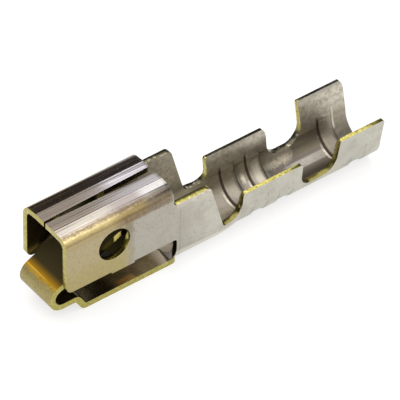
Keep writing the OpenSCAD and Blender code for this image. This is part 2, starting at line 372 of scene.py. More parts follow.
# %% A socket that can be added and multiplied
class Signal:
    def __init__(self, board, socket):
        self.board = board
        self.socket = socket

    def __add__(self, other):
        return self.board.maths("ADD", self, other)

    def __radd__(self, other):
        return self.board.maths("ADD", other, self)

    def __sub__(self, other):
        return self.board.maths("SUBTRACT", self, other)

    def __rsub__(self, other):
        return self.board.maths("SUBTRACT", other, self)

    def __mul__(self, other):
        return self.board.maths("MULTIPLY", self, other)

    def __rmul__(self, other):
        return self.board.maths("MULTIPLY", other, self)

    def __abs__(self):
        return self.board.maths("ABSOLUTE", self, 0.0)

    def larger(self, other):
        return self.board.maths("MAXIMUM", self, other)

    def smaller(self, other):
        return self.board.maths("MINIMUM", self, other)

    def rise(self, low, high):
        return self.board.node(
            "ShaderNodeMapRange",
            {"interpolation_type": "SMOOTHSTEP"},
            {"Value": self, "From Min": low, "From Max": high},
        )

    def fall(self, low, high):
        return 1 - self.rise(low, high)

    def band(self, low, high, soft):
        return self.rise(low - soft, low) * self.fall(high, high + soft)

    def stray(self, noise, reach):
        return self + reach * (noise - 0.5)


def skills(kind):
    return [name for name in vars(kind) if not name.startswith("_")]


print("a signal has:", skills(Signal))

# %% [markdown]
# The board holds one node tree, a material's or the sky's. Its one node-making method sets a node's own
# settings first, and then its sockets, to a value or to a wire from another node. Colours are mixed by a
# Mix node, because a Math node would turn them grey. That node has a set of sockets for each kind of data,
# so a colour's are picked by their numbers. The cover says how much of the first tone the second hides
# where the mask is full.

# %% The board that nodes are pinned to
MIX_FACTOR, MIX_FIRST, MIX_SECOND, MIX_RESULT = 0, 6, 7, 2


class Board:
    def __init__(self, owner):
        owner.use_nodes = True
        self.tree = owner.node_tree

    def node(self, kind, settings=None, inputs=None, out=0):
        made = self.tree.nodes.new(kind)
        for key, value in (settings or {}).items():
            setattr(made, key, value)
        for key, value in (inputs or {}).items():
            self.feed(made.inputs[key], value)
        return Signal(self, made.outputs[out])

    def feed(self, socket, value):
        if isinstance(value, Signal):
            self.tree.links.new(value.socket, socket)
        else:
            socket.default_value = value

    def maths(self, operation, first, second):
        return self.node("ShaderNodeMath", {"operation": operation}, {0: first, 1: second})

    def parts(self, vector):
        split = self.node("ShaderNodeSeparateXYZ", None, {0: vector}).socket.node
        return [Signal(self, socket) for socket in split.outputs]

    def blend(self, mask, first, second, cover=1.0):
        tones = [tone if isinstance(tone, Signal) else (*tone, 1.0) for tone in (first, second)]
        return self.node(
            "ShaderNodeMix",
            {"data_type": "RGBA"},
            {MIX_FACTOR: cover * mask, MIX_FIRST: tones[0], MIX_SECOND: tones[1]},
            out=MIX_RESULT,
        )


print("a board has:", skills(Board))

# %% [markdown]
# A metal finish is a board that knows its material. It reads the piece's Object coordinates, turned into
# millimetres, so that a stain is placed by the part's own sizes, and a noise's scale is simply the number
# of blotches in a millimetre. Painted textures could hold the same, but they need unwrapping and pictures.

# %% The metal finishes' common ground
class Metal(Board):
    def __init__(self, name):
        self.material = bpy.data.materials.new(name)
        super().__init__(self.material)
        self.shader = self.tree.nodes["Principled BSDF"]
        self.feed(self.shader.inputs["Metallic"], 1.0)
        place = self.node("ShaderNodeTexCoord", out="Object")
        self.place = self.node(
            "ShaderNodeVectorMath", {"operation": "SCALE"}, {0: place, "Scale": 1 / MM}
        )
        self.x, self.y, self.z = self.parts(self.place)

    def noise(self, scale, detail, stretch=(1.0, 1.0, 1.0)):
        at = self.node(
            "ShaderNodeVectorMath", {"operation": "MULTIPLY"}, {0: self.place, 1: stretch}
        )
        return self.node(
            "ShaderNodeTexNoise", None, {"Vector": at, "Scale": scale, "Detail": detail}
        )

    def tell(self, step):
        print(self.material.name, "with", step, "has", len(self.tree.nodes), "nodes")

    def dress(self, colour, roughness, height, depth):
        bump = self.node(
            "ShaderNodeBump", None, {"Strength": 1.0, "Distance": depth * MM, "Height": height}
        )
        self.feed(self.shader.inputs["Base Color"], colour)
        self.feed(self.shader.inputs["Roughness"], roughness)
        self.feed(self.shader.inputs["Normal"], bump)
        sheet_mesh.materials.append(self.material)
        self.tell("its relief")


print("a metal also has:", skills(Metal))

# %% [markdown]
# Tin plating
#
# Tin on rolled brass is a warm grey metal, a little darker on the box than on the barrels, which were
# pressed harder and shine more. A brown bloom has crept over it in patches, and a fine grain breaks it up.
# One flat grey would look like paint, and a picture of old metal would have to be wrapped round every fold.
# So the grey is mixed from a few tones by noises, which fill space and need no wrapping.

# %% Warm grey
BEHIND_BOX = (-2.2, -0.6)
GREY_BOX = (0.4, 0.375, 0.325)
GREY_BARREL = (0.5, 0.485, 0.42)
BLOOM_STEP = (0.42, 0.7)
BLOOM_BROWN = (0.37, 0.34, 0.27)
GRAIN_STEP = (0.42, 0.68)
GRAIN_BOX = (0.31, 0.285, 0.235)
GRAIN_BARREL = (0.4, 0.385, 0.325)

tin = Metal("tin_plating")
bloom = tin.noise(scale=1.4, detail=3.0)
grain = tin.noise(scale=11.0, detail=5.0)
behind_box = tin.x.rise(*BEHIND_BOX)
grainy = grain.rise(*GRAIN_STEP)
grain_tone = tin.blend(behind_box, GRAIN_BOX, GRAIN_BARREL)
grey = tin.blend(behind_box, GREY_BOX, GREY_BARREL)
grey = tin.blend(bloom.rise(*BLOOM_STEP), grey, BLOOM_BROWN, cover=0.6)
grey = tin.blend(grainy, grey, grain_tone, cover=0.4)
tin.tell("warm grey")

# %% [markdown]
# The roof's grey is the coldest on the box. Its far half lightens towards the rear, as a painted
# reflection. The near half is light at both ends and darker halfway. A colour ramp could hold those three
# tones, but a helper that blends three tones along the box can be called again, and the bends below will
# need it.

# %% The roof
BOX_END = (-2.6, -2.4)
ROOF_STEP_Z = (4.4, 4.55)
NEAR_HALF_Y = (-0.68, -0.6)
NEAR_HALF = ((0.45, 0.41, 0.36), (0.33, 0.29, 0.28), (0.52, 0.5, 0.5))
HALFWAY = (-5.6, -4.8)
TO_REAR = (-4.0, -3.4)
FAR_HALF_X = (-6.5, -3.5)
FAR_FRONT = (0.34, 0.285, 0.235)
FAR_REAR_PAINTED_REFLECTION = (0.56, 0.53, 0.55)


def along_box(front, halfway, rear):
    first = tin.blend(tin.x.rise(*HALFWAY), front, halfway)
    return tin.blend(tin.x.rise(*TO_REAR), first, rear)


box = tin.x.fall(*BOX_END)
roof_top = box * tin.z.rise(*ROOF_STEP_Z)
far_half = tin.blend(tin.x.rise(*FAR_HALF_X), FAR_FRONT, FAR_REAR_PAINTED_REFLECTION)
roof_tone = tin.blend(tin.y.fall(*NEAR_HALF_Y), far_half, along_box(*NEAR_HALF))
grey = tin.blend(roof_top, grey, roof_tone)
tin.tell("its roof")

# %% [markdown]
# The rolls left long brown bands on the roof. Over them lie a painted highlight strip at the rear of the
# far half and a painted highlight rim at the front of the near bend. The bands could be drawn one by one,
# but a noise that is stretched along X, by shrinking that coordinate, gives all of them at once.

# %% Broad bands and bright strips
BAND_STRETCH = (0.1, 3.5, 3.5)
BAND_STEP = (0.45, 0.65)
BAND_BROWN = (0.25, 0.21, 0.18)
STREAK_STRETCH = (0.5, 16.0, 16.0)
STRIP_X = (-4.95, -4.1)
STRIP_Y = (0.1, 0.64, 0.02)
STRIP_PAINTED_HIGHLIGHT = (0.84, 0.8, 0.87)
RIM_X = (-6.8, -5.4)
RIM_Y = (-1.02, -0.9)
RIM_PAINTED_HIGHLIGHT = (0.72, 0.65, 0.57)

bands = tin.noise(scale=1.0, detail=1.0, stretch=BAND_STRETCH)
streaks = tin.noise(scale=1.0, detail=3.0, stretch=STREAK_STRETCH)
grey = tin.blend(roof_top * bands.rise(*BAND_STEP), grey, BAND_BROWN, cover=0.55)
painted_strip_highlight = tin.x.stray(streaks, reach=0.5).rise(*STRIP_X) * tin.y.band(*STRIP_Y)
grey = tin.blend(roof_top * painted_strip_highlight, grey, STRIP_PAINTED_HIGHLIGHT, cover=0.8)
painted_rim_highlight = tin.x.fall(*RIM_X) * tin.y.fall(*RIM_Y)
grey = tin.blend(roof_top * painted_rim_highlight, grey, RIM_PAINTED_HIGHLIGHT, cover=0.9)
tin.tell("bands and strips")

# %% [markdown]
# Thin lines from the rolls are grooves, and their dark is painted shade, so they stay dark even in the
# painted highlight strip. A blend lies over the earlier ones as a coat of paint does, so the lines come
# after the strip. They could be cut into the mesh, but colour is enough here, and the same noise will be
# a fine relief when the tin is dressed.

# %% Thin lines
LINE_STRETCH = (0.15, 9.0, 9.0)
LINE_STEP = (0.56, 0.64)
LINE_PAINTED_SHADE = (0.17, 0.145, 0.125)

lines = tin.noise(scale=1.0, detail=2.0, stretch=LINE_STRETCH)
grey = tin.blend(roof_top * lines.rise(*LINE_STEP), grey, LINE_PAINTED_SHADE, cover=0.6)
tin.tell("thin lines")

# %% [markdown]
# Heat stains
#
# The mating end has been hot. Its side walls are tan, more yellow lower down, as far as an edge that
# wanders by most of a millimetre. A wide soft edge would look like spray paint, so the bloom moves it.

# %% Tan walls
WALL_TOP = (3.9, 4.25)
TAN_END = (-5.1, -4.4)
TAN_Z = (2.2, 3.2)
TAN_LOW = (0.39, 0.325, 0.145)
TAN_HIGH = (0.41, 0.345, 0.2)
TAN_GRAIN = (0.3, 0.245, 0.125)

wander = tin.x.stray(bloom, reach=0.8)
wall = tin.z.fall(*WALL_TOP)
tan = tin.blend(tin.z.rise(*TAN_Z), TAN_LOW, TAN_HIGH)
tan = tin.blend(grainy, tan, TAN_GRAIN, cover=0.5)
grey = tin.blend(wander.fall(*TAN_END) * wall, grey, tan)
tin.tell("tan walls")

# %% [markdown]
# The bends above the walls carry four bands, one over the other: tan, brown, gold and dark, all lightest
# at the front. They follow the height, because heat ran along the bend. A ramp on Z could hold one set of
# colours, but these also change along the box, so each band is three tones and the bands are blended.

# %% Bands on the bends
TAN_BAND = ((0.38, 0.3, 0.155), (0.21, 0.15, 0.085), (0.19, 0.15, 0.1))
BROWN_BAND = ((0.43, 0.33, 0.14), (0.24, 0.165, 0.07), (0.22, 0.16, 0.1))
GOLD_BAND = ((0.82, 0.65, 0.29), (0.54, 0.405, 0.17), (0.37, 0.29, 0.185))
DARK_BAND = ((0.24, 0.185, 0.105), (0.15, 0.11, 0.065), (0.19, 0.16, 0.125))
BROWN_Z = (4.17, 4.32)
GOLD_Z = (4.31, 4.45)
DARK_Z = (4.44, 4.56)
STAIN_FOOT = (3.92, 4.12)
STAIN_TOP = (4.575, 4.605)
SPECK_STEP = (0.4, 0.6)

mottle = tin.noise(scale=5.0, detail=4.0)
specks = tin.noise(scale=9.0, detail=2.0)
level_z = tin.z.stray(mottle, reach=0.08).stray(grain, reach=0.1)
bend = along_box(*TAN_BAND)
for heights, tones in ((BROWN_Z, BROWN_BAND), (GOLD_Z, GOLD_BAND), (DARK_Z, DARK_BAND)):
    bend = tin.blend(level_z.rise(*heights), bend, along_box(*tones))
stained = level_z.rise(*STAIN_FOOT) * tin.z.stray(mottle, reach=0.03).fall(*STAIN_TOP) * box
grey = tin.blend(stained * (0.8 + 0.2 * specks.rise(*SPECK_STEP)), grey, bend)
tin.tell("banded bends")

# %% [markdown]
# Where the tan ends, the heat has left a brown tide mark, strongest near the bend. A curve could be drawn
# for it, but the mark reads the same wandering place as the tan, so that the two keep together.

# %% Tide mark
TIDE_X = (-4.7, -4.58, 0.2)
TIDE_Z = (2.8, 3.8)
TIDE_BROWN = (0.2, 0.155, 0.085)

tide = wander.band(*TIDE_X) * wall * (0.35 + 0.65 * tin.z.rise(*TIDE_Z))
grey = tin.blend(tide, grey, TIDE_BROWN, cover=0.65)
tin.tell("a tide mark")

# %% [markdown]
# The folded loop in front of the box is worn nearly to the brass, with a coarse grain. Heat has turned its
# crest orange, brightest on the far side, before the tongue goes into the dark. The edge of the orange
# could be one soft line, but on the real part it is a sprinkle of spots, so two noises break it up.

# %% Worn loop
LOOP_X = (-7.5, -7.2)
LOOP_TOP = (2.2, 2.3)
LOOP_HALF = (1.1, 1.16)
WORN_Z = (0.7, 1.45)
WORN_LOW = (0.44, 0.38, 0.23)
WORN_HIGH = (0.41, 0.345, 0.15)
WORN_GRAIN = (0.27, 0.22, 0.09)
CREST_Y = (-0.7, 0.8)
CREST_Z = (1.64, 1.8)
CREST_NEAR = (0.4, 0.24, 0.015)
CREST_FAR = (0.74, 0.44, 0.04)

loop = tin.x.fall(*LOOP_X) * tin.z.fall(*LOOP_TOP) * abs(tin.y).fall(*LOOP_HALF)
worn = tin.blend(tin.z.rise(*WORN_Z), WORN_LOW, WORN_HIGH)
worn = tin.blend(grainy, worn, WORN_GRAIN, cover=0.6)
orange = tin.blend(tin.y.rise(*CREST_Y), CREST_NEAR, CREST_FAR)
crest_z = tin.z.stray(specks, reach=0.25).stray(grain, reach=0.35)
worn = tin.blend(crest_z.rise(*CREST_Z), worn, orange)
grey = tin.blend(loop, grey, worn)
tin.tell("a worn loop")

# %% [markdown]
# Inside the barrels
#
# The inside of the trough and its wings is duller than the outside. One formula tells the two apart: the
# distance from the trough's axis, below it, and from its middle, above it, less the wings' slope. The
# faces could be sorted by rays again, but a formula can fade.

# %% Which side of the trough
TROUGH_AXIS = 1.37
WING_SLOPE = 0.15
MIDDLE_OF_SHEET = (1.3, 1.5)
TROUGH_FRONT = (-2.35, -2.2)

above = tin.z - TROUGH_AXIS
on_wing = above.larger(0.0)
in_round = above.smaller(0.0)
from_middle = abs(tin.y) - WING_SLOPE * on_wing
squared = from_middle * from_middle + in_round * in_round
inside = squared.fall(*MIDDLE_OF_SHEET) * tin.x.rise(*TROUGH_FRONT)
outside = 1 - inside
tin.tell("an inside and an outside")

# %% [markdown]
# The dull tin is painted darkest on the floor, as shade, and lightest at the tips of the wings, as light.
# A mottled brown film lies over it all. One dull grey with lamps might give the same from one side, but
# three tones that follow the height hold from every side.

# %% Dull tin
FLOOR_Z = (0.4, 0.75)
DULL_FLOOR_PAINTED_SHADE = (0.25, 0.225, 0.195)
DULL_ROUND = (0.36, 0.32, 0.255)
TIP_Z = (1.3, 2.2)
DULL_TIP_PAINTED_LIGHT = (0.68, 0.635, 0.54)
FILM_STEP = (0.4, 0.7)
FILM_BROWN = (0.3, 0.26, 0.19)

dull = tin.blend(tin.z.rise(*FLOOR_Z), DULL_FLOOR_PAINTED_SHADE, DULL_ROUND)
dull = tin.blend(tin.z.rise(*TIP_Z), dull, DULL_TIP_PAINTED_LIGHT)
dull = tin.blend(mottle.rise(*FILM_STEP), dull, FILM_BROWN, cover=0.5)
tin.tell("dull tin")

# %% [markdown]
# Between the two barrels the floor is dark, with one painted light streak along it. A tight pair of lamps
# could throw that streak, but it would be lost wherever the part is lit in another way, so it is painted.

# %% Floor between the barrels
BETWEEN_X = (4.05, 6.7, 0.2)
LOW_Z = (0.5, 0.62)
LOW_BROWN = (0.15, 0.13, 0.115)
STREAK_X = (4.5, 5.2)
STREAK_Y = (0.16, 0.46, 0.06)
STREAK_PAINTED_LIGHT = (0.32, 0.29, 0.265)

low = tin.x.stray(mottle, reach=0.3).band(*BETWEEN_X) * tin.z.fall(*LOW_Z)
dull = tin.blend(low, dull, LOW_BROWN)
streak = tin.x.stray(mottle, reach=1.2).rise(*STREAK_X) * tin.y.band(*STREAK_Y)
dull = tin.blend(low * streak, dull, STREAK_PAINTED_LIGHT)
tin.tell("a floor between the barrels")

# %% [markdown]
# Up the far side lie a painted light patch, behind the conductor's wings, and a painted brown shade
# before the insulation's. They could be one gradient from light to brown, but each has its own height and
# its own ragged edge, so each is a mask of its own.

# %% Patch and shade on the far side
FAR_SIDE_Y = (0.0, 0.2)
PATCH_X = (4.3, 4.9, 0.5)
PATCH_Z = (0.62, 0.72, 0.16)
PATCH_STEP = (0.4, 0.6)
PATCH_PAINTED_LIGHT = (0.66, 0.6, 0.48)
SHADE_X = (5.4, 6.75, 0.2)
SHADE_Z = (0.6, 1.15, 0.1)
SHADE_PAINTED_BROWN = (0.15, 0.13, 0.095)

far_side = tin.y.rise(*FAR_SIDE_Y)
painted_light_patch = tin.x.band(*PATCH_X) * tin.z.stray(specks, reach=0.25).band(*PATCH_Z) * far_side
dull = tin.blend(painted_light_patch * (0.45 + 0.4 * grain.rise(*PATCH_STEP)), dull, PATCH_PAINTED_LIGHT)
shade = tin.x.stray(mottle, reach=0.6).band(*SHADE_X) * tin.z.band(*SHADE_Z) * far_side
dull = tin.blend(shade, dull, SHADE_PAINTED_BROWN, cover=0.85)
tin.tell("a patch and a shade")

# %% [markdown]
# The near side of the floor is painted lighter where the first notch lets light in, the lower part of the
# insulation barrel is painted a little darker as shade, and faint clouds drift over both. Strong clouds
# were tried and looked like lichen, so they cover less than a quarter.

# %% Front floor, rear barrel and clouds
OPENING_X = (0.7, 1.5, 0.2)
OPENING_Y = (-0.1, 0.12)
OPENING_Z = (0.5, 0.7)
OPENING_LIGHT = (0.46, 0.42, 0.34)
REAR_BARREL_X = (5.8, 6.4)
REAR_BARREL_Z = (1.0, 1.4)
REAR_BARREL_PAINTED_SHADE = (0.12, 0.1, 0.075)
CLOUD_STEP = (0.44, 0.68)
CLOUD_BROWN = (0.15, 0.125, 0.085)

near_notch = tin.x.stray(mottle, reach=0.5).band(*OPENING_X) * tin.y.fall(*OPENING_Y)
dull = tin.blend(near_notch * tin.z.fall(*OPENING_Z), dull, OPENING_LIGHT, cover=0.8)
rear_barrel_shade = tin.x.rise(*REAR_BARREL_X) * tin.z.fall(*REAR_BARREL_Z)
dull = tin.blend(rear_barrel_shade, dull, REAR_BARREL_PAINTED_SHADE, cover=0.25)
clouds = tin.noise(scale=6.5, detail=6.0)
dull = tin.blend(clouds.rise(*CLOUD_STEP), dull, CLOUD_BROWN, cover=0.22)
tin.tell("a front floor, a rear barrel and clouds")

# %% [markdown]
# The two ribs of the conductor barrel bite the wire, and their lands carry a painted highlight, the second
# more than the first. A painted highlight spot between them shines most. Sprinkled specks looked like
# frost, so each land is one soft band. The trough's front end, just behind the box, is light again. With
# that the inside is done, and it is laid over the grey.

# %% Light on the ribs
FIRST_LAND_X = (2.1, 2.3, 0.18)
FIRST_LAND_SHARE = 0.25
SECOND_LAND_X = (3.4, 3.6, 0.18)
LAND_Z = (0.5, 1.0, 0.3)
LAND_PAINTED_HIGHLIGHT = (0.72, 0.67, 0.57)
SPOT_X = (2.8, 2.82, 0.15)
SPOT_Z = (0.66, 0.72, 0.24)
SPOT_PAINTED_HIGHLIGHT = (0.95, 0.88, 0.74)
FRONT_END_X = (-1.9, -1.5)
FRONT_END_LIGHT = (0.55, 0.5, 0.44)

lands = FIRST_LAND_SHARE * tin.x.band(*FIRST_LAND_X) + tin.x.band(*SECOND_LAND_X)
lands = lands * tin.z.stray(mottle, reach=0.5).band(*LAND_Z)
dull = tin.blend(lands, dull, LAND_PAINTED_HIGHLIGHT, cover=0.45)
spot = tin.x.stray(grain, reach=0.2).band(*SPOT_X) * tin.z.stray(grain, reach=0.3).band(*SPOT_Z)
dull = tin.blend(spot * far_side, dull, SPOT_PAINTED_HIGHLIGHT, cover=0.75)
dull = tin.blend(tin.x.fall(*FRONT_END_X), dull, FRONT_END_LIGHT)
grey = tin.blend(inside, grey, dull)
tin.tell("light on the ribs")

# %% [markdown]
# Each of the three ribs has a crease at its front and a fainter one at its rear, and a painted glint
# before the front one. A search for hollows could find creases by itself, but it would find every bend
# too. So the ribs' places are named, and one loop builds all the masks.

# %% Creases beside the ribs
RIBS = ((1.8, 2.52), (3.1, 3.82), (6.85, 7.57))
FRONT_CREASE = (-0.045, 0.03, 0.035)
REAR_CREASE = (-0.01, 0.01, 0.025)
REAR_CREASE_SHARE = 0.7
GLINT_EDGE = (-0.15, -0.09, 0.03)


def beside(edge, low, high, soft):
    return tin.x.band(edge + low, edge + high, soft)


crease = 0.0
glint_edge = 0.0
for start, end in RIBS:
    crease = crease + beside(start, *FRONT_CREASE) + REAR_CREASE_SHARE * beside(end, *REAR_CREASE)
    glint_edge = glint_edge + beside(start, *GLINT_EDGE)
tin.tell("creases")

# %% [markdown]
# The creases inside the barrels are painted dark as shade, and the edges before them carry painted
# glints. Behind the last rib a painted highlight also runs up the far wing. Outside, the ribs only show as
# faint lines of painted shade. One tone for both sides would be quicker, but inside the painted shade is
# much darker.

# %% Painted shade in the creases, and painted glints
GLINT_Z = (0.36, 0.6)
GLINT_COVER = 0.6
HOOK_X = (7.6, 7.67, 0.03)
HOOK_Z = (0.9, 1.75, 0.15)
HOOK_COVER = 0.8
GLINT_PAINTED_HIGHLIGHT = (0.72, 0.66, 0.55)
CREASE_SHADE_Z = (1.35, 1.8)
CREASE_PAINTED_SHADE = (0.045, 0.035, 0.025)
OUTLINE_Z = (0.9, 1.3)
PAINTED_SHADE_LINE = (0.2, 0.18, 0.14)

painted_glint = GLINT_COVER * glint_edge * inside * tin.z.stray(mottle, reach=0.5).fall(*GLINT_Z)
painted_hook = HOOK_COVER * tin.x.band(*HOOK_X) * tin.z.band(*HOOK_Z) * inside * far_side
grey = tin.blend(painted_glint.larger(painted_hook), grey, GLINT_PAINTED_HIGHLIGHT)
grey = tin.blend(crease * inside * tin.z.fall(*CREASE_SHADE_Z), grey, CREASE_PAINTED_SHADE, cover=0.85)
grey = tin.blend(crease * outside * tin.z.fall(*OUTLINE_Z), grey, PAINTED_SHADE_LINE, cover=0.45)
tin.tell("painted crease shade and glints")

# %% [markdown]
# The transition walls
#
# Behind the box the flat walls turn into the round trough. Their undersides are painted lighter, as a
# reflection, and a press mark stands where the box ends. The mark could be a groove in the mesh, but it is
# too shallow to catch light, so its shade is painted. The neck narrows, so heights are read with a small
# share of X added.

# %% Undersides and the press mark
NECK_SLOPE = 0.066
UNDERNEATH_X = (-2.2, 0.6, 0.3)
UNDERNEATH_Z = (0.8, 1.06)
UNDERNEATH_PAINTED_REFLECTION = (0.66, 0.64, 0.57)
PRESS_MARK_X = (-2.14, -2.11, 0.02)
PRESS_MARK_Z = (3.5, 3.7)

neck_z = tin.z + NECK_SLOPE * tin.x
underneath = tin.x.band(*UNDERNEATH_X) * neck_z.fall(*UNDERNEATH_Z) * outside
grey = tin.blend(underneath, grey, UNDERNEATH_PAINTED_REFLECTION, cover=0.6)
press_mark = tin.x.band(*PRESS_MARK_X) * tin.z.fall(*PRESS_MARK_Z) * outside
grey = tin.blend(press_mark, grey, PAINTED_SHADE_LINE, cover=0.35)
tin.tell("undersides and a press mark")

# %% [markdown]
# Two faint lines on the transition show where its bends begin, the upper one fainter and steeper. The mesh
# has these bends, but they are too gentle to show in a soft light, so two thin bands of painted shade draw
# them.

# %% Lines where the bends begin
LOWER_BEND_X = (-2.1, -0.4, 0.2)
LOWER_BEND_Z = (1.06, 1.075, 0.015)
UPPER_SLOPE = 0.16
UPPER_BEND_X = (-1.8, -0.5, 0.2)
UPPER_BEND_Z = (1.19, 1.205, 0.015)
UPPER_BEND_SHARE = 0.6
BEND_PAINTED_SHADE = (0.22, 0.2, 0.16)

lower_bend = tin.x.band(*LOWER_BEND_X) * neck_z.band(*LOWER_BEND_Z)
upper_z = tin.z + UPPER_SLOPE * tin.x
upper_bend = UPPER_BEND_SHARE * tin.x.band(*UPPER_BEND_X) * upper_z.band(*UPPER_BEND_Z)
grey = tin.blend(lower_bend.larger(upper_bend) * outside, grey, BEND_PAINTED_SHADE, cover=0.5)
tin.tell("lines at the bends")

# %% [markdown]
# The far shoulder of the roof is painted dark brown, as a dark reflection, and it is smooth. Dark specks
# of dirt are strewn over all of the tin. The roughness follows the streaks and is higher in the dirt, on
# the loop, on the walls and in the barrels. A relief cut into the mesh would need millions of faces, so a
# Bump node tilts the light instead, by streaks, specks and the roof's thin lines.

# %% Dress the tin
FAR_SHOULDER_Y = (0.6, 0.66)
FAR_SHOULDER_PAINTED_DARK = (0.12, 0.075, 0.045)
DIRT_STEP = (0.66, 0.74)
DIRT_BROWN = (0.2, 0.16, 0.1)
TIN_RELIEF = 0.0012

far_shoulder = roof_top * tin.y.rise(*FAR_SHOULDER_Y)
grey = tin.blend(far_shoulder, grey, FAR_SHOULDER_PAINTED_DARK, cover=0.72)
dirt = specks.rise(*DIRT_STEP)
grey = tin.blend(dirt, grey, DIRT_BROWN, cover=0.5)
roughness = 0.14 + 0.14 * streaks + 0.2 * dirt + 0.25 * loop + 0.1 * wall + 0.12 * inside
relief = streaks + 0.6 * specks + 5.0 * roof_top * lines
tin.dress(grey, roughness, relief * (1 - 0.85 * far_shoulder), TIN_RELIEF)

# %% [markdown]
# Bare brass
#
# The cut edges are fresh yellow brass, greener than gold, with a fine torn grain where the press broke
# through. On the barrels they are also pitted brown and rubbed light. A single yellow would look moulded,
# so two noises drive it, the coarser one much stronger behind the box.

# %% Torn and pitted brass
TORN_STEP = (0.35, 0.7)
BRASS_LIGHT = (0.44, 0.395, 0.13)
BRASS_DEEP = (0.33, 0.28, 0.06)
COARSE_X = (-2.7, -2.3)
PIT_STEP = (0.54, 0.66)
PIT_BROWN = (0.15, 0.115, 0.025)
RUBBED_STEP = (0.36, 0.46)
RUBBED_BRASS = (0.62, 0.57, 0.24)

brass = Metal("bare_brass")
torn = brass.noise(scale=14.0, detail=3.0)
pits = brass.noise(scale=7.0, detail=4.0)
coarse = 0.1 + 0.5 * brass.x.rise(*COARSE_X)
yellow = brass.blend(torn.rise(*TORN_STEP), BRASS_LIGHT, BRASS_DEEP)
yellow = brass.blend(coarse * pits.rise(*PIT_STEP), yellow, PIT_BROWN)
yellow = brass.blend(coarse * pits.fall(*RUBBED_STEP), yellow, RUBBED_BRASS)
brass.tell("grain and pits")

# %% [markdown]
# Deep in the box the edges of the tongue are painted dark brown as shade, and so is the trough's front
# edge, which the box shades. One stretch of the tongue, at the window, stays light. The dark could be left
# to the shading, but bright metal mirrors the sky even there, so the tone itself goes down.

# %% Edges deep in the box
TONGUE_HALF = (1.09, 1.18)
TONGUE_X = (-7.0, -2.6, 0.2)
TONGUE_Z = (0.9, 1.2)
WINDOW_X = (-5.1, -4.8, 0.05)
TROUGH_EDGE_X = (-2.33, -2.2, 0.04)
TROUGH_EDGE_Z = (0.32, 1.75, 0.05)
DEEP_PAINTED_SHADE = (0.035, 0.028, 0.012)

from_seam = abs(brass.y)
on_tongue = from_seam.fall(*TONGUE_HALF)
at_window = brass.x.band(*WINDOW_X)
tongue = on_tongue * brass.x.band(*TONGUE_X) * brass.z.rise(*TONGUE_Z) * (1 - at_window)
trough_edge = brass.x.band(*TROUGH_EDGE_X) * brass.z.band(*TROUGH_EDGE_Z)
yellow = brass.blend(tongue.larger(trough_edge), yellow, DEEP_PAINTED_SHADE, cover=0.95)
brass.tell("edges deep in the box")

# %% [markdown]
# The middle of the trough's front edge has a grey matt film, and the stretch at the window is lit. A rough
# metal would still be too dark for the film, so there the Metallic value goes down to 0, and the shine
# that other materials have is switched off.

# %% A filmed edge and a lit one
FILM_HALF = (1.1, 1.25)
FILM_GREY = (0.34, 0.305, 0.265)
WINDOW_Z = (2.8, 3.4, 0.2)
LIT_BRASS = (0.9, 0.8, 0.3)

filmed = trough_edge * from_seam.fall(*FILM_HALF)
yellow = brass.blend(filmed, yellow, FILM_GREY)
lit = at_window * on_tongue * brass.z.band(*WINDOW_Z)
yellow = brass.blend(lit, yellow, LIT_BRASS)
brass.feed(brass.shader.inputs["Metallic"], 1 - filmed)
brass.feed(brass.shader.inputs["Specular IOR Level"], 0.0)
brass.tell("a filmed edge and a lit one")

# %% [markdown]
# Dirt has turned the bottoms of the two notches olive. A level line would look dipped, so the torn grain
# moves its upper edge up and down.

# %% Dirty notches
NOTCHES = ((-0.7, 1.25, 0.05), (4.2, 6.15, 0.05))
NOTCH_Z = (1.25, 1.8)
NOTCH_OLIVE = (0.16, 0.135, 0.045)

notch = 0.0
for span in NOTCHES:
    notch = notch + brass.x.band(*span)
notch_dirt = notch * brass.z.stray(torn, reach=0.3).fall(*NOTCH_Z)
yellow = brass.blend(notch_dirt, yellow, NOTCH_OLIVE, cover=0.8)
brass.tell("dirty notches")

# %% [markdown]
# The tips of the far walls and wings, and the far notches, were rolled over by the tools and have kept some
# tin: they are dark grey with light spots. They could be sorted as plated faces, but the tin there is torn
# and dark, so they stay with the brass and take a tone of their own.

# %% Far tips, and the dressed brass
TIPS = (((-2.4, -0.45, 0.1), (3.4, 3.6)), ((1.3, 4.15, 0.06), (2.12, 2.22)))
REAR_TIP_X = (6.1, 6.2)
REAR_TIP_Z = (2.5, 2.6)
FAR_NOTCH_Z = (1.25, 1.5)
FAR_TIP_Y = (0.75, 0.9)
TIP_STEP = (0.5, 0.62)
TIP_DARK = (0.09, 0.08, 0.06)
TIP_LIGHT = (0.36, 0.33, 0.26)
BRASS_RELIEF = 0.002

rolled_over = brass.x.rise(*REAR_TIP_X) * brass.z.rise(*REAR_TIP_Z) + notch * brass.z.fall(*FAR_NOTCH_Z)
for span, heights in TIPS:
    rolled_over = rolled_over + brass.x.band(*span) * brass.z.rise(*heights)
tip_tone = brass.blend(pits.rise(*TIP_STEP), TIP_DARK, TIP_LIGHT)
yellow = brass.blend(rolled_over * brass.y.rise(*FAR_TIP_Y), yellow, tip_tone, cover=0.9)
brass.dress(yellow, 0.16 + 0.16 * torn + 0.4 * lit, torn, BRASS_RELIEF)

# %% [markdown]
# Inside the box
#
# The plating inside the box is painted dark brown, as the shade of the closed box, and mottled by a noise.
# The painted shade thins out towards the rear, on the strip and on the walls. The tin's material could be
# darkened here too, but with a material of its own the inside can be changed without touching the outside.

# %% Plating inside the box, with painted shade
INSIDE_SHADE_STEP = (0.35, 0.7)
INSIDE_SHADE_LIGHT = (0.2, 0.165, 0.1)
INSIDE_SHADE_DARK = (0.13, 0.1, 0.055)
STRIP_FACE_Z = (0.4, 0.6)
REAR_STRIP_X = (-3.0, -2.4)
REAR_STRIP = (0.43, 0.38, 0.325)
REAR_WALL_X = (-3.0, -2.35)
REAR_WALL = (0.36, 0.33, 0.28)

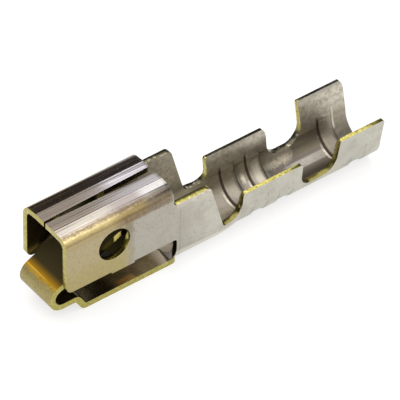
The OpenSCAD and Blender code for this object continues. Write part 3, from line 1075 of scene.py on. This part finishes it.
shaded_inside = Metal("shaded_plating")
film = shaded_inside.noise(scale=2.2, detail=3.0)
brown = shaded_inside.blend(film.rise(*INSIDE_SHADE_STEP), INSIDE_SHADE_LIGHT, INSIDE_SHADE_DARK)
off_strip = shaded_inside.z.rise(*STRIP_FACE_Z)
on_strip = 1 - off_strip
brown = shaded_inside.blend(shaded_inside.x.rise(*REAR_STRIP_X) * on_strip, brown, REAR_STRIP)
brown = shaded_inside.blend(shaded_inside.x.rise(*REAR_WALL_X) * off_strip, brown, REAR_WALL)
shaded_inside.tell("lighter and darker painted shade")

# %% [markdown]
# Halfway along the strip lies a crescent of painted light from the window, burnt orange, on the near side,
# and the far half, under the tail of the tongue, is painted nearly black as shade. Both could be painted on
# a picture of the strip, but two bands whose ends stray with the film noise are enough.

# %% Crescent, and the dark under the tail
CRESCENT_X = (-4.9, -4.1, 0.25)
CRESCENT_Y = (-1.15, -0.8, 0.15)
CRESCENT_PAINTED_LIGHT = (0.4, 0.23, 0.07)
UNDER_TAIL_X = (-5.2, -3.7, 0.6)
UNDER_TAIL_Y = (0.0, 0.6)
UNDER_TAIL_PAINTED_SHADE = (0.015, 0.014, 0.012)

crescent = shaded_inside.x.stray(film, reach=0.8).band(*CRESCENT_X) * shaded_inside.y.band(*CRESCENT_Y)
brown = shaded_inside.blend(crescent * on_strip, brown, CRESCENT_PAINTED_LIGHT, cover=0.8)
under_tail = shaded_inside.x.stray(film, reach=0.6).band(*UNDER_TAIL_X) * shaded_inside.y.rise(*UNDER_TAIL_Y)
brown = shaded_inside.blend(under_tail * on_strip, brown, UNDER_TAIL_PAINTED_SHADE)
shaded_inside.tell("a crescent and a dark place")

# %% [markdown]
# The spring tongue goes from the orange of the loop's crest to a dark brown of painted shade, and it is
# matt. A dark metal would still mirror the bright sky there, so the tongue is not a metal to the shader.

# %% The spring, and the dressed inside
SPRING_END = (-3.9, -3.6)
SPRING_HALF = (1.09, 1.15)
SPRING_Z = (1.15, 1.3)
HEATED_X = (-8.05, -7.6)
SPRING_ORANGE = (0.42, 0.22, 0.016)
SPRING_PAINTED_SHADE = (0.055, 0.043, 0.019)
INSIDE_RELIEF = 0.002

spring = shaded_inside.x.fall(*SPRING_END) * abs(shaded_inside.y).fall(*SPRING_HALF) * shaded_inside.z.rise(*SPRING_Z)
heat_and_shade = shaded_inside.blend(shaded_inside.x.rise(*HEATED_X), SPRING_ORANGE, SPRING_PAINTED_SHADE)
brown = shaded_inside.blend(spring, brown, heat_and_shade)
shaded_inside.feed(shaded_inside.shader.inputs["Metallic"], 1 - spring)
shaded_inside.feed(shaded_inside.shader.inputs["Specular IOR Level"], 0.0)
shaded_inside.dress(brown, 0.2 + 0.12 * film, film, INSIDE_RELIEF)

# %% [markdown]
# Floor and light
#
# The part lies on a plain pale floor. A plane without end could be used, but a round sheet just under the
# part is enough, and it glows a little, so that it stays pale where the part keeps the light off it.

# %% Floor
FLOOR_RADIUS = 250 * MM
FLOOR_SIDES = 64
FLOOR_GAP = 0.01 * MM
FLOOR_FINISH = {
    "Base Color": (0.4, 0.4, 0.4, 1),
    "Roughness": 0.9,
    "Specular IOR Level": 0.0,
    "Emission Color": (1, 1, 1, 1),
    "Emission Strength": 0.66,
}

floor_mesh = bpy.data.meshes.new("pale_floor")
floor_shape = bmesh.new()
bmesh.ops.create_circle(floor_shape, cap_ends=True, segments=FLOOR_SIDES, radius=FLOOR_RADIUS)
bmesh.ops.translate(floor_shape, vec=(0.0, 0.0, -FLOOR_GAP), verts=floor_shape.verts)
floor_shape.to_mesh(floor_mesh)
floor_shape.free()
floor = bpy.data.objects.new("pale_floor", floor_mesh)
bpy.context.scene.collection.objects.link(floor)
pale = bpy.data.materials.new("pale_floor")
paper = Board(pale)
for socket, value in FLOOR_FINISH.items():
    paper.feed(paper.tree.nodes["Principled BSDF"].inputs[socket], value)
floor_mesh.materials.append(pale)
print("floor, mm across:", round(2 * FLOOR_RADIUS / MM))

# %% [markdown]
# Metal shows what stands round it, so lamps alone would leave it black with a few white spots. The light
# is a soft sky instead: bright overhead and on the camera's side, dim at the horizon behind, and nearly
# dark between the two, which gives the roof its dark shoulder. Rays that come straight from the camera
# see an even pale ground.

# %% Soft sky
OVERHEAD_GLOW = 2.0
OVERHEAD_HEIGHT = (0.61, 0.77)
FRONT_GLOW = 0.8
FRONT_SIDE = (-0.35, 0.25)
HORIZON_GLOW = 0.22
HORIZON_HEIGHT = (0.18, 0.4)
LEAST_GLOW = 0.035
SKY_TINT = (1.0, 0.99, 0.97, 1)

world = bpy.data.worlds.new("soft_sky")
bpy.context.scene.world = world
sky = Board(world)
across, away, height = sky.parts(sky.node("ShaderNodeTexCoord", out="Generated"))
towards_camera = math.sin(AZIMUTH) * across - math.cos(AZIMUTH) * away
overhead = OVERHEAD_GLOW * height.rise(*OVERHEAD_HEIGHT)
front = FRONT_GLOW * towards_camera.rise(*FRONT_SIDE)
horizon = HORIZON_GLOW * height.fall(*HORIZON_HEIGHT)
glow = LEAST_GLOW + overhead.larger(front).larger(horizon)
backdrop = sky.node("ShaderNodeLightPath", out="Is Camera Ray")
light = sky.tree.nodes["Background"].inputs
sky.feed(light["Strength"], glow * (1 - backdrop) + backdrop)
sky.feed(light["Color"], SKY_TINT)
bpy.context.scene.view_settings.view_transform = "Standard"
print("sky nodes:", len(sky.tree.nodes))

# %% [markdown]
